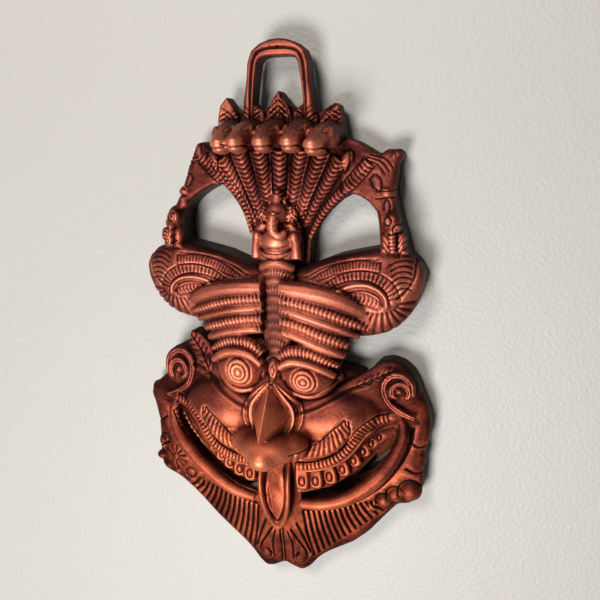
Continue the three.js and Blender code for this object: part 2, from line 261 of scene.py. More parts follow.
def fan_line(number):
    """The middle line of one snake of the fan, as (across, drop), from the top down."""
    side = 1 if number > 0 else -1
    lines = {
        0: ((0, 62), (0, 90), (0, 118)),
        1: ((13.2, 62), (8.2, 88), (2.6, 117)),
        2: ((25.6, 62), (15, 92.5), (6.4, 117)),
        3: ((36.4, 67), (27, 84), (19.2, 98), (10.5, 114)),
    }
    return [(side * across, drop) for across, drop in lines[abs(number)]]


def snake_fan():
    """The sheet that the snakes stand on, their crests, and their bodies."""
    left = turned_over([*SHEET_TOP, *SHEET_LEFT])
    slab([(0, 29), *SHEET_TOP, *SHEET_RIGHT, *left], 3, 14.5, 0.8)
    slab(CREST, 6, 18.5, 1.2)
    both(slab(LEG_CREST, 6, 18.5, 1.2))
    slab(OUTER_CREST, 6, 18, 1.2)
    slab(LEFT_CREST, 6, 18, 1.2)
    for number in range(-3, 4):
        line = fan_line(number)
        wide = (5.6, 4.3, 2.7) if len(line) == 3 else (5.4, 4.6, 3.7, 2.4)
        bar([(across, 15, drop) for across, drop in line], wide, 0.66)
    halves = (4.4, 4.2, 3.8, 3.3, 2.7, 2)
    bar([(across, 15.5, drop) for across, drop in NECK_RIGHT], halves, 0.7)
    mirrored_only(bar([(across, 15.5, drop) for across, drop in NECK_LEFT], halves, 0.7))
    both(lump(40.2, 16.5, 68.2, 3.7, 4.2, 6.4, 26))


def snake_heads():
    for place in HEAD_PLACES:
        snake_head(*place)


def arm(outline, crest, slide=(0, 0)):
    """A side arm: thin at its crested top and deep where it lands on the wing. Slide moves the
    ornament of its upper and its lower part inward."""
    first = len(parts)
    piece = slab(outline, 0, 13, 0)
    for vertex in piece.data.vertices:
        if vertex.co.y < -6:
            drop = -vertex.co.z
            vertex.co.y = -np.interp(drop, (56, 66, 118), (13.5, 16, 27))
    bpy.ops.object.mode_set(mode="EDIT")
    bpy.ops.mesh.select_all(action="DESELECT")
    bpy.ops.object.mode_set(mode="OBJECT")
    for edge in piece.data.edges:
        edge.select = all(piece.data.vertices[index].co.y < -6 for index in edge.vertices)
    bpy.ops.object.mode_set(mode="EDIT")
    bpy.ops.mesh.bevel(offset=3.2, segments=3, clamp_overlap=True)
    bpy.ops.object.mode_set(mode="OBJECT")
    lump(crest[0], 12, crest[1], 3.5, 5, 5.5, crest[2])
    upper, lower = slide
    lump(58 - upper, 14, 80, 5.6, 4.5, 7, -20)
    bar(((61 - upper, 15, 85.6), (64.6 - upper, 19.6, 86.4), (67.6 - upper, 15, 86.4)), (2.6, 2.8, 2.4))
    lump(65.2 - upper, 19, 93, 3, 3.4, 4.4, 15)
    lump(68.3 - lower, 21.5, 103.5, 5, 6, 7.5, 12)
    lump(66.4 - lower, 26, 101.3, 1.9, 2.2, 2.4)
    lump(71.8 - lower, 25.5, 105.3, 2, 2.4, 2.7)
    bar(((69 - lower, 26, 106), (69.5 - lower, 29, 112), (70 - lower, 28, 119.5)), (2.4, 2.6, 2.2))
    lump(65.4 - lower, 24, 112.5, 3, 3.8, 5.4)
    lump(74.2 - lower, 23.5, 113.5, 2.8, 4.2, 5.4, 10)
    return parts[first:]


def arms():
    arm(ARM_RIGHT, (68, 66, 50))
    for piece in arm(ARM_LEFT, (51.5, 63, 5), (4.6, 3)):
        mirrored_only(piece)


def seated_figure():
    """A plain elephant-headed figure with a crown and folded legs, in its niche."""
    niche = ((0, 86), (5, 91), (10.5, 99), (15, 108), (15, 127))
    slab([*niche, *turned_over(niche[1:])], 3, 21.5, 1.6)
    lump(0, 20, 91, 4.8, 5, 6.4)
    lump(0, 22, 98.6, 6.6, 6.4, 6.8)
    trunk = ((0, 26.5, 99), (-0.6, 29.4, 104.6), (0.8, 30.2, 109.6), (4.4, 29.8, 111.2), (7, 28.4, 108.5))
    bar(trunk, (3.8, 3.5, 2.9, 2.4, 1.7))
    both(lump(8.6, 21.4, 99.6, 4.2, 2.8, 5.4))
    lump(0, 22.5, 115, 10.4, 8, 7.6)
    lump(0, 23.6, 123.4, 12, 7, 5.2)
    limb = ((7, 22, 105), (12, 22.4, 110.5), (12.2, 24.6, 117), (12.8, 24, 125))
    both(bar(limb, (2.9, 3.1, 2.8, 3.2)))
    both(lump(11.4, 25.5, 112, 2.9, 2.8, 3.1))


# The wings, the brows and the eyes

WING = (
    (8, 133), (17, 130.5), (26.5, 126.2), (36, 122.6), (45, 120.4), (54, 118.6), (61, 117), (70, 118),
    (79, 121), (84.5, 126), (87, 132), (86, 140), (83, 148), (79, 155), (73, 161), (66, 165),
    (56, 167.5), (44, 168.5), (30, 160), (12, 150),
)
BROWS = (
    # middle line as (across, drop) from the column out, half height, how far out it stands
    (((5, 141), (20, 142), (34, 144.6), (48, 150), (60, 158)), 5.6, 40.5),
    (((5, 147.6), (20, 149.8), (34, 153.6), (46.5, 158.4), (56.5, 163)), 3.5, 39.6),
    (((5, 153.4), (20, 156.2), (33, 159.8), (43, 163.4), (51, 167)), 3.1, 38),
    (((5, 159.8), (20, 162.8), (31, 166.4), (40, 169.6), (45.5, 172.2)), 3.8, 39),
    (((6, 166.4), (20, 169.6), (31, 173), (38, 175.8), (43, 178.2)), 3.4, 37.6),
)
LIDS = (
    (((5, 181.6), (12, 176.8), (22, 176.2), (31, 179.2), (39.5, 184)), 3.2, 39.4),
    (((5, 187.4), (12, 183), (22, 182.4), (31, 185.2), (38.5, 190)), 3.3, 42),
)
EYE = (20.4, 194)


def out_on_stack(across, front):
    """How far out a brow stands at some distance across: the stack curves back at its sides."""
    return front - 13.5 * (across / 58) ** 2.8


def wing():
    profile = ((1, 0), (1, 20), (0.93, 23), (0.8, 25.6), (0.5, 28.4), (0.15, 29.2))
    both(dome(WING, WING_MIDDLE, profile))


def brow_stack():
    """The brows and the lids on their core. The plan fills the stack behind them."""
    plan = (
        (((5, 139), (20, 139.5), (34, 142), (44, 146), (49, 150)), 8, 24),
        (((5, 152), (20, 154), (33, 157), (43, 160.5)), 9, 25),
        (((5, 166), (20, 168), (31, 171), (39, 174)), 9, 25),
        (((5, 180), (20, 181), (30, 184), (37, 187)), 9, 25),
        (((5, 193), (18, 195), (29, 196), (38, 194)), 9, 24),
    )
    core = ((0, 134), (22, 134), (38, 140), (44, 152), (40, 168), (36, 184), (36, 204), (0, 210))
    slab([*core, *turned_over(core[1:-1])], 0, 16, 2)
    for line, half, front in (*plan, *BROWS, *LIDS):
        deep = 1.0 if half > 5 else 1.35
        points = [(across, out_on_stack(across, front) - half * deep, drop) for across, drop in line]
        halves = [half * share for share in (0.9, 1, 1, 0.95, 0.6)][: len(points)]
        both(bar(points, halves, deep))


def eyes():
    across, drop = EYE
    both(lump(across, 27, drop, 17, 11.5, 12.5, 8))
    both(lump(across, 32, drop, 12, 8.4, 10.4))
    rim = (
        (6, 27, 192), (10, 31, 200.6), (18, 33, 205.4), (27, 32, 204.6), (34, 28.5, 200), (39.5, 24, 192),
    )
    both(bar(rim, (1.6, 1.9, 2, 2, 1.8, 1.3)))


def column():
    """The ribbed column between the brows."""
    side = ((11, 140), (10.4, 152), (9.4, 166), (8.2, 180), (6.6, 192), (4.4, 202))
    slab([(across + COLUMN_MIDDLE, drop) for across, drop in [*side, *turned_over(side)]], 12, 30, 2)
    lump(0, 24, 130, 11, 6.4, 6.5)
    arch = ((-10.2, 6.4, 2.6), (-5, 3.4, -0.4), (0, 2.4, -1.6), (5, 3.4, -0.4), (10.2, 6.4, 2.6))
    for rib in range(12):
        share = 1 - 0.034 * rib
        out = 33 - 0.1 * rib
        drop = 128.4 + 5.2 * rib
        line = [(COLUMN_MIDDLE + a * share, out - back, drop + low) for a, back, low in arch]
        bar(line, (2.5,) * len(arch))
    lump(0.4, 31, 191, 3.8, 4.6, 7.5)


# The face below the brows

FACE_RIGHT = (
    (0, 186), (30, 187), (46, 191), (54, 192), (61, 183.5), (68, 182), (75.5, 184.5), (81.5, 190),
    (85, 198), (87.5, 206), (91, 214), (92.7, 224), (91.5, 234), (89.5, 240), (88.8, 252), (88.8, 264),
    (85.5, 273), (80, 276.6), (74, 277), (65, 287.5), (56, 298.5), (46.5, 307), (36, 313), (29, 317.2),
    (23, 322), (17, 329.6), (11.5, 333), (6, 331), (0, 328.4),
)
FACE_LEFT = (
    (30, 187), (46, 191), (54, 190), (60, 186), (67, 186), (73, 189), (75.5, 196), (77, 203), (84, 208.5),
    (90, 213.5), (92.4, 219.5), (89.7, 227), (87.2, 239), (87, 253), (87.2, 264), (86, 270.5), (81.5, 274),
    (75.7, 276.2), (70, 279.8), (64, 284.8), (57, 291), (46.5, 301.6), (36, 310.6), (27, 318),
    (21.8, 323.4), (17, 329.8), (12.5, 333.5), (7, 332.4),
)
MOUSTACHE = (
    (15, 249.6), (24, 249.2), (33, 247), (40.5, 243.2), (46.2, 237.4), (51, 230.6), (56, 224.8),
    (62, 220.8), (69, 218.8), (75.5, 218.2),
)
LEAF = ((16.5, 240.6), (25, 239.2), (32, 236.6), (38, 232), (42.8, 226), (45.2, 219.4))
LEAF_HALVES = (4.4, 5.2, 6, 6.2, 5.6, 1.6)
TEETH_RIGHT = (
    (17, 259.6, 4.7), (25.2, 259, 4.6), (33.4, 256.2, 4.5), (40.9, 251.6, 4.2), (47.4, 246, 3.9),
    (53, 240.2, 3.6), (57.8, 235, 3.2), (62.4, 230.8, 2.8),
)
TEETH_LEFT = (
    (17, 258.6, 4.4), (24.4, 257.2, 4.2), (31.4, 254.4, 4), (37.8, 251, 3.6), (43.6, 247.4, 3),
)
GUM_TOP = ((73, 221), (63, 222), (54, 228), (46, 238), (38, 244), (26, 249), (14, 250))
GUM_RIGHT = ((14, 269.5), (18.5, 269.2), (34.5, 265), (47, 257), (56.1, 247.6), (65, 239.6), (72, 230.4))
GUM_LEFT = ((14, 266), (24.7, 264), (34.9, 260), (45.2, 254), (53.5, 248.4), (62, 239.6), (69.7, 229))
MOUTH_RIGHT = (
    (14.5, 277.5), (28, 275.8), (40, 271.8), (50, 266), (59, 258.4), (66, 249.6), (71, 239.6), (73.5, 229),
    (71.5, 225), (64, 227.6), (58, 231.6), (52.5, 237.6), (46.5, 244.4), (39, 250.4), (30, 255),
    (14.5, 257.4),
)
MOUTH_LEFT = (
    (14.5, 276), (28, 273.4), (38, 268), (48, 260.4), (56, 252.4), (63, 243), (67, 235), (69, 227),
    (66, 225), (60, 230), (54, 237), (46.5, 244.4), (39, 250.4), (30, 255), (14.5, 257.4),
)
LIP_RIGHT = (
    (15, 31, 278.2), (28, 32, 276.6), (40.5, 31.2, 273), (51, 29.6, 267.2), (60.5, 27.4, 259.6),
    (68.2, 25, 250.6), (74, 23, 240), (77, 21.4, 230), (75.4, 20, 221),
)
LIP_LEFT = (
    (15, 30.4, 278.4), (27, 31, 275.2), (37, 30.4, 270.6), (48, 29.4, 263.2), (57.8, 28.4, 254.6),
    (65.6, 27.4, 246), (70.4, 26, 237.5), (72.2, 24.4, 229), (71, 22.4, 221),
)
UNDER_LIP_RIGHT = (
    (16, 285), (28, 283.6), (42, 279.6), (54, 272.6), (65, 263), (74.6, 250), (81, 236), (82.6, 226),
)
UNDER_LIP_LEFT = (
    (16, 285), (29, 282), (41, 276), (52, 268.4), (63, 259), (71.6, 248.6), (76, 238), (77, 228),
)
CHEEK_TOP = ((15.5, 216.6), (24, 213.2), (36, 206.8), (45, 201.8), (57, 197))
KNUCKLES = ((81.4, 266.5, 7.2), (72.4, 269.6, 5.6), (65.4, 274.6, 5))
LIP_HALVES = (3.2, 4, 4.4, 4.7, 4.9, 5, 4.7, 4.2, 2.6)


def face_plate():
    profile = (
        (1, 0), (1, 13.5), (0.975, 15), (0.85, 17.5), (0.7, 20.5), (0.55, 23.5), (0.4, 27), (0.25, 31),
        (0.08, 33),
    )
    dome([*FACE_RIGHT, *turned_over(FACE_LEFT)], FACE_MIDDLE, profile)


def cheeks():
    both(lump(31, 19, 222.5, 33, 16.5, 19.5, -6))
    both(lump(16, 22, 226, 16, 14, 18))


def nose():
    """The bulb and the bridge; the keeled pyramid on it is added when they have been softened."""
    lump(0, 44, 236.4, 19, 14.5, 9.6)
    both(lump(14.5, 40, 235.6, 10, 10.5, 8.4))
    lump(-0.4, 51, 239.8, 9.5, 11, 8)
    lump(0, 30.5, 217, 17, 10.5, 23)


def nose_pyramid():
    ring = ((0, 41.5, 197.5), (11.2, 38.5, 217.5), (6.5, 42, 230), (-6.5, 42, 230), (-11.2, 38.5, 217.5))
    bpy.ops.mesh.primitive_cone_add(vertices=5, radius1=1, radius2=0, depth=1, end_fill_type="NGON")
    piece = bpy.context.object
    for vertex, place in zip(piece.data.vertices, [*ring, (-0.4, 60.8, 227.5)]):
        vertex.co = spot(*place)
    bpy.ops.object.mode_set(mode="EDIT")
    closed_up(piece)


def banded(line, halves):
    """A line of (across, drop) points, each with a half width."""
    return [(across, drop, half) for (across, drop), half in zip(line, halves)]


def out_at(line, across):
    """The distance out along a list of (across, out) pairs."""
    return float(np.interp(across, [a for a, _ in line], [o for _, o in line]))


CARVED_OUT = ((10, 38.5), (25, 35.5), (35, 33), (45, 29.5), (56, 25.5), (68, 22.5), (78, 20.5))


def moustache():
    halves = (4.4, 4.8, 4.8, 4.8, 4.8, 4.7, 4.6, 4.5, 4, 2.8)
    line = [(across, out_at(CARVED_OUT, across) - 3.8, drop) for across, drop in MOUSTACHE]
    both(bar(line, halves, 0.95))
    leaf = [(across, out_at(CARVED_OUT, across) - 0.9, drop) for across, drop in LEAF]
    both(bar(leaf, LEAF_HALVES, 0.62))


def gum(outline, ends):
    """The plate between the moustache and the slot of the mouth, that the teeth stand on."""
    piece = slab([*outline, *GUM_TOP], 12, 24, 1)
    for vertex in piece.data.vertices:
        if vertex.co.y < -20:
            across = vertex.co.x
            set_back = ((ends - 16, 7), (ends, 4.4))
            vertex.co.y = out_at(set_back, across) - out_at(CARVED_OUT, across)
    return piece


def tooth(across, drop, half):
    out = out_at(CARVED_OUT, across) - 8.6
    tall = half * 1.7
    shape = ((-0.9, -1.2), (0.9, -1.2), (0.98, 0.2), (0.8, 0.85), (0, 1), (-0.8, 0.85), (-0.98, 0.2))
    outline = [(across + half * a, drop + tall * d) for a, d in shape]
    piece = slab(outline, out - 6, out + 3, 1.6)
    turn = math.radians(-0.85 * (across - 17))
    pivot = Matrix.Translation(spot(across, 0, drop))
    piece.data.transform(pivot @ Matrix.Rotation(turn, 4, "Y") @ pivot.inverted())
    return piece


def teeth():
    gum(GUM_RIGHT, 74)
    mirrored_only(gum(GUM_LEFT, 58))
    for place in TEETH_RIGHT:
        tooth(*place)
    for place in TEETH_LEFT:
        mirrored_only(tooth(*place))


def mouth_opening():
    """The mouth, cut right through the face before the lip and the teeth go on."""
    first = len(parts)
    slab(MOUTH_RIGHT, -2, 46, 0)
    mirrored_only(slab(MOUTH_LEFT, -2, 46, 0))
    return joined(taken_back(first), "mouth")


def mouth_floor():
    """The plates at the bottom of the mouth. The right one leaves a small gap that goes right through."""
    top = ((74, 223), (64, 225), (57, 229), (51, 235.4), (45, 242), (37, 248), (28, 252), (13, 255))
    right = (
        (13, 284), (31, 281), (45, 276.5), (56, 270), (66, 260), (71, 250), (64.2, 252.6), (57, 259.4),
        (50.6, 262), (49.4, 259), (57.3, 252.2), (63, 248.4), (70, 246.5), (77, 234),
    )
    left = ((13, 287), (31, 283.5), (42, 279.5), (52, 272.5), (62, 262.5), (70, 250), (74, 240))
    first = len(parts)
    slab((*right, *top), 4, 8, 0)
    mirrored_only(slab((*left, *top), 4, 8, 0))
    return joined(taken_back(first), "mouth_floor")


def lip():
    def sunk(line):
        return [(across, out - 3.6, drop) for across, out, drop in line]

    bar(sunk(LIP_RIGHT), LIP_HALVES, 0.95)
    mirrored_only(bar(sunk(LIP_LEFT), LIP_HALVES, 0.8))


def tongue():
    outline = [(9.6, 248), (10, 262), (9.4, 275), (7.4, 285), (3.6, 293.5), (0, 297.6)]
    piece = slab([*outline, *turned_over(outline[:-1])], 18, 32.5, 2)
    bend = ((248, 30), (262, 34.5), (278, 33), (298, 27))
    for vertex in piece.data.vertices:
        if vertex.co.y < -24:
            vertex.co.y += 32.5 - out_at(bend, -vertex.co.z)
    border = [(across * 0.9, out_at(bend, drop) - 0.4, drop) for across, drop in outline]
    both(bar(border, (1.4, 1.5, 1.6, 1.6, 1.5, 1.4)))


def scroll(across, drop, side):
    """The volute at a cheek's outer corner: an inner curl, and a ribbon over it that trails away."""
    ribbon = ((8, 3.5), (6.5, -6.5), (0, -11.2), (-7, -8.4), (-9.4, 0), (-6, 8.4), (1, 13.8), (10, 17.6))
    curl = ((4.6, 5.6), (5.4, -1), (1, -5.4), (-4, -2.4), (-4.4, 2.6), (-1, 5.6))
    pieces = [lump(across, 13.5, drop, 12, 6, 14, -15)]
    for line, out, half in ((ribbon, 19.4, 2.4), (curl, 20, 1.8)):
        points = [(across + a, out, drop + d) for a, d in line]
        halves = [half * 0.7, *[half] * (len(line) - 2), half * 0.6]
        pieces.append(bar(points, halves, 1))
    pieces.append(lump(across, 19.4, drop, 2.2, 2.6, 2.2))
    if side < 0:
        for piece in pieces:
            mirrored_only(piece)


def scrolls():
    """The ornament at the cheeks' outer corners and the low lobes down the rim."""
    scroll(74, 201.4, 1)
    scroll(68, 200.8, -1)
    lump(87, 9.5, 227, 5.6, 6.2, 9.5, 12)
    lump(84.4, 9.5, 244.5, 5.8, 6.2, 9, -8)
    for across, drop, wide, tall, lean in ((87, 218, 4.6, 6.4, 30), (83, 240, 5, 9.5, 0)):
        mirrored_only(lump(across, 9.5, drop, wide, 6.2, tall, lean))
    leaf_right = (
        (43, 201), (47.5, 196.6), (55.6, 190.6), (64, 187), (71.5, 187), (68.6, 193.6), (61.5, 199.8),
        (50, 203),
    )
    leaf_left = (
        (43, 206), (44.6, 193), (47.6, 185), (54.6, 179), (61.2, 178), (63.2, 187.7), (59.3, 195.6),
        (52, 202),
    )
    slab(leaf_right, 2, 17.5, 1.6)
    mirrored_only(slab(leaf_left, 2, 16.5, 1.6))


def fists():
    """The knuckles at the jaw's right corner, and the open palm at its left."""
    for across, drop, size in (*KNUCKLES, (57.6, 279.4, 4.6)):
        lump(across, 13.2, drop, size, 6.4, size)
    for across, drop, wide, tall, lean in (
        (78, 262, 9, 9, 0), (84, 254, 3.6, 6.5, 15), (85, 263, 5.5, 3.4, 8),
        (80.5, 269.5, 5.2, 3.6, -30), (73.5, 272, 3.6, 4.6, 5), (67, 274, 3.2, 4.2, 20),
    ):
        mirrored_only(lump(across, 10.8, drop, wide, 6.2, tall, lean))


def beard():
    """The two curls at the chin; the pleats are carved later."""
    both(lump(11.6, 11, 321.5, 7.4, 6.4, 8.2))
    both(lump(4, 15, 300, 9, 6, 14))


# The hollow back, and the fusing of the masses


def shrunk(outline, middle, share):
    """An outline drawn in towards a middle."""
    return [
        (middle[0] + (across - middle[0]) * share, middle[1] + (drop - middle[1]) * share)
        for across, drop in outline
    ]


def hollows():
    """The masses taken out of the back and the mouth, joined as one."""
    first = len(parts)
    rim = 0.86  # the hollow's outline, as a share of the face's
    face = shrunk([*FACE_RIGHT, *turned_over(FACE_LEFT)], FACE_MIDDLE, rim)
    steps = ((0.7, 20.5), (0.55, 23.5), (0.4, 27), (0.1, 30))
    dome(face, FACE_MIDDLE, ((1, -2), (1, 10.5), *[(share / rim, out - WALL) for share, out in steps]))
    brows = ((0, 143), (20, 143), (33, 147), (36, 160), (31, 175), (28, 190), (28, 208), (0, 210))
    slab([*brows, *turned_over(brows[1:-1])], -2, 17, 3)
    wing_back = shrunk(WING, WING_MIDDLE, 0.78)
    steps = ((1, -2), (1, 15.5), (0.9, 19.5), (0.6, 29 - WALL), (0.2, 30 - WALL))
    both(dome(wing_back, WING_MIDDLE, steps))
    slab(((-120, -20), (120, -20), (120, 360), (-120, 360)), -14, 0, 0)
    return joined(taken_back(first), "hollows")


def joined(pieces, name):
    bpy.ops.object.select_all(action="DESELECT")
    for piece in pieces:
        piece.select_set(True)
    bpy.context.view_layer.objects.active = pieces[0]
    bpy.ops.object.join()
    whole = bpy.context.object
    whole.name = name
    bpy.ops.object.transform_apply(location=True, rotation=True, scale=True)
    return whole


def fuse(whole, spacing):
    """Joins overlapping masses under one skin."""
    remesh = whole.modifiers.new("skin", "REMESH")
    remesh.mode = "VOXEL"
    remesh.voxel_size = spacing
    bpy.ops.object.select_all(action="DESELECT")
    whole.select_set(True)
    bpy.context.view_layer.objects.active = whole
    bpy.ops.object.modifier_apply(modifier=remesh.name)
    return whole


def soften(first, spacing, rounds):
    """Fuses the masses made since a count and eases the creases between them, as worked wax."""
    whole = fuse(joined(taken_back(first), "softened"), spacing)
    smooth = whole.modifiers.new("soft", "SMOOTH")
    smooth.factor = 0.5
    smooth.iterations = rounds
    bpy.ops.object.modifier_apply(modifier=smooth.name)
    take(whole)


def combined(whole, cut, operation):
    """Takes a closed mass out of the whole, or adds it."""
    boolean = whole.modifiers.new("joint", "BOOLEAN")
    boolean.operation = operation
    boolean.solver = "MANIFOLD"
    boolean.object = cut
    bpy.context.view_layer.objects.active = whole
    bpy.ops.object.modifier_apply(modifier=boolean.name)
    bpy.data.objects.remove(cut)


def rounded(gap):
    """A stroke's round section: 1 on its middle line, falling to 0 where the gap is 1."""
    return np.where(gap < 1, 0.5 + 0.5 * np.cos(np.pi * np.minimum(gap, 1)), 0)


class Carving:
    """Fine relief on the fused skin. Each stroke raises or lowers the skin along its normals."""

    def __init__(self, whole):
        self.mesh = whole.data
        count = len(self.mesh.vertices)
        places = np.empty(count * 3)
        self.mesh.vertices.foreach_get("co", places)
        self.places = places.reshape(-1, 3)
        pairs = np.empty(len(self.mesh.edges) * 2, np.int64)
        self.mesh.edges.foreach_get("vertices", pairs)
        self.pairs = pairs.reshape(-1, 2)
        self.valence = np.bincount(self.pairs.ravel(), minlength=count)[:, None]
        self.lift = np.zeros(count)
        self.side = 1  # -1 while the left is carved, with points given as on the right
        self.outs = (5, 80)  # nothing nearer the back or further out than this is cut
        self.floor = ()  # when set, (across, drop) points below which nothing is cut
        self.places = self.eased(self.places, 4, 0.5)
        self.refresh()

    def around(self, values):
        """The mean of each vertex's neighbours."""
        a, b = self.pairs.T
        found = np.empty_like(values)
        for axis in range(values.shape[1]):
            column_values = values[:, axis]
            found[:, axis] = np.bincount(a, column_values[b], len(values)) + np.bincount(
                b, column_values[a], len(values)
            )
        return found / self.valence

    def eased(self, values, rounds, share):
        for _ in range(rounds):
            values = values + share * (self.around(values) - values)
        return values

    def refresh(self):
        self.mesh.vertices.foreach_set("co", self.places.ravel())
        self.mesh.update()
        normals = np.empty(len(self.places) * 3)
        self.mesh.vertices.foreach_get("normal", normals)
        normals = self.eased(normals.reshape(-1, 3), 3, 0.7)
        self.normals = normals / np.maximum(1e-9, np.linalg.norm(normals, axis=1))[:, None]
        self.front = np.column_stack([self.places[:, 0], -self.places[:, 2]])
        self.out = -self.places[:, 1]

    def placed(self, points):
        """Points given as on the right, on the side that is being carved."""
        return [(self.side * point[0], *point[1:]) for point in points]

    def near(self, path, reach, outs):
        """The front vertices within reach of a path's box."""
        outs = outs or self.outs
        low = path[:, :2].min(0) - reach
        high = path[:, :2].max(0) + reach
        inside = np.all((self.front > low) & (self.front < high), axis=1)
        inside &= (self.out > outs[0]) & (self.out < outs[1]) & (self.normals[:, 1] < 0.25)
        if self.floor:
            across, drop = np.transpose(self.floor)
            inside &= self.front[:, 1] < np.interp(np.abs(self.front[:, 0]), across, drop)
        return np.nonzero(inside)[0]

    def along(self, path, chosen):
        """For each chosen vertex: the nearest path point, the distance and its side."""
        nearest = np.empty(len(chosen), np.int64)
        for start in range(0, len(chosen), 4000):
            block = self.front[chosen[start:start + 4000]]
            gaps = ((block[:, None, :] - path[None, :, :2]) ** 2).sum(2)
            nearest[start:start + 4000] = gaps.argmin(1)
        ahead = np.gradient(path[:, :2], axis=0)
        ahead /= np.maximum(1e-9, np.linalg.norm(ahead, axis=1))[:, None]
        offset = self.front[chosen] - path[nearest, :2]
        side = ahead[nearest, 0] * offset[:, 1] - ahead[nearest, 1] * offset[:, 0]
        slip = np.abs((ahead[nearest] * offset).sum(1))
        return nearest, side, slip

    def line(self, points, width, height, outs=None, closed=False):
        """A thread-like stroke: a groove where height is below 0, and a ridge above it."""
        if closed:
            points = [*points, points[0]]
        self.stroke(self.placed(points), width, height, outs)

    def stroke(self, points, width, height, outs):
        path = smooth_path(points)
        chosen = self.near(path, width, outs)
        if not len(chosen):
            return
        _, side, slip = self.along(path, chosen)
        gap = np.hypot(side, slip) / (width / 2)
        self.lift[chosen] += CUT * height * rounded(gap)

    def ribs(self, points, pitch, height, bow=0, slant=0, lean=0, edge=0, outs=None, sharp=0.7):
        """Ribs across a band. Points are (across, drop, half width). Bow bends the ribs, slant turns
        them as a feather's, lean tilts them, and edge cuts a groove down both sides of the band."""
        path = smooth_path(self.placed(points))
        chosen = self.near(path, float(path[:, 2].max()) + 0.6, outs)
        if not len(chosen):
            return
        nearest, side, slip = self.along(path, chosen)
        steps = np.linalg.norm(np.diff(path[:, :2], axis=0), axis=1)
        run = np.concatenate([[0], np.cumsum(steps)])
        half = path[nearest, 2]
        t = side / half
        inside = (np.abs(t) < 1) & (slip < 0.8)
        s = run[nearest] + bow * t**2 + slant * np.abs(t) + lean * t
        wave = np.abs(np.sin(np.pi * s / pitch)) ** sharp
        window = np.clip((1 - np.abs(t)) * half / 0.7, 0, 1)
        self.lift[chosen] += np.where(inside, CUT * height * (wave - 1) * window, 0)
        if edge:
            rim = np.abs(np.abs(side) - half) / 0.7
            self.lift[chosen] -= CUT * edge * np.where(slip < 0.8, rounded(rim), 0)

    def ring(self, across, drop, radius, width, height, outs=None, squash=1):
        middle = self.side * across
        turns = np.linspace(0, 2 * math.pi, 25)
        points = [(middle + radius * math.cos(t), drop + radius * squash * math.sin(t)) for t in turns]
        self.stroke(points, width, height, outs)

    def dot(self, across, drop, radius, height, outs=None):
        """A round dimple, or a bump where height is above 0."""
        middle = np.array([[self.side * across, drop]])
        chosen = self.near(middle, radius, outs)
        gap = np.linalg.norm(self.front[chosen] - middle, axis=1) / radius
        self.lift[chosen] += CUT * height * rounded(gap)

    def finish(self):
        """Cuts the strokes, and stores how sunk or raised each place is beside what is round it."""
        self.places = self.places + self.normals * self.lift[:, None]
        # The brows and the eyes stand a little lower on the left than on the right
        lean = np.interp(self.front[:, 1], (136, 150, 165, 178, 193, 208), (0, 0.8, 1.6, 2.2, 1.5, 0))
        self.places[:, 2] -= lean * np.clip(self.front[:, 0] / 20, -1.4, 1.4)
        self.refresh()
        fine = self.eased(self.places, 10, 0.6)
        broad = self.eased(fine, 50, 0.6)
        self.sunk_fine = ((self.places - fine) * self.normals).sum(1)
        self.sunk_broad = ((self.places - broad) * self.normals).sum(1)


def carve(cut):
    """All the fine relief. A stroke is given on the right, and cut on each side in turn."""
    for cut.side in (1, -1):
        for carve_part in (carve_fan, carve_wing, carve_brows, carve_face, carve_beard):
            carve_part(cut)
    for cut.side, tip in ((1, (68, 60)), (-1, (51.5, 56))):
        carve_arm(cut, *tip)
    cut.side = 1
    for carve_part in (carve_heads, carve_figure, carve_column):
        carve_part(cut)


def carve_fan(cut):
    """The loop's groove, the snakes' scales, and the creases of their crests."""
    groove = [(16.6, 46), (16.4, 32), (15.8, 20), (14.6, 12), (11.6, 7.2), (6, 5.4), (0, 5.1)]
    cut.line(groove, 3, -1.2, (15, 23))
    for number in (1, 2, 3):
        line = fan_line(number)
        halves = (5.4, 4.1, 2.6) if len(line) == 3 else (5.2, 4.4, 3.5, 2.3)
        cut.ribs(banded(line, halves), 2.9, 1, bow=3, edge=0.5, outs=(13, 24), sharp=0.6)
    for top in (6.4, 18.4, 31):
        cut.line([(top, 63), (1.4 + top * 0.48, 96)], 1.8, 1.1, (10, 22))
    neck = NECK_LEFT if cut.side < 0 else NECK_RIGHT
    band = banded(neck, (4.2, 4, 3.6, 3.1, 2.5, 1.8))
    cut.ribs(band, 2.6, 0.9, bow=1, edge=0.8, outs=(10, 24))
    leaf = [(41.8, 61.8), (37.6, 66), (37.6, 71), (39.6, 75), (42.6, 71), (43.4, 66)]
    cut.line(leaf, 1.4, -1.2, (13, 26), closed=True)
    for k in range(4):
        cut.line([(0.6, 34 + 3.4 * k), (5.4, 38.5 + 3.4 * k)], 1.4, -1.2, (14, 24))
        cut.line([(11 + k * 0.4, 40 + 2.4 * k), (15.4, 43.4 + 2.6 * k)], 1.4, -1.1, (14, 26))
        cut.line([(22.5, 42 + 2.4 * k), (18, 45.4 + 2.6 * k)], 1.4, -1.1, (14, 26))
        cut.line([(31 + 0.5 * k, 40 + 2.8 * k), (36.4, 42.6 + 2.6 * k)], 1.3, -1.1, (14, 24))
        cut.line([(30.4 + 0.4 * k, 41 + 2.8 * k), (26.2, 45 + 2.4 * k)], 1.3, -1.1, (14, 24))
    cut.line([(1.5, 31.5), (6, 40), (6.6, 48)], 1.2, -1, (14, 24))


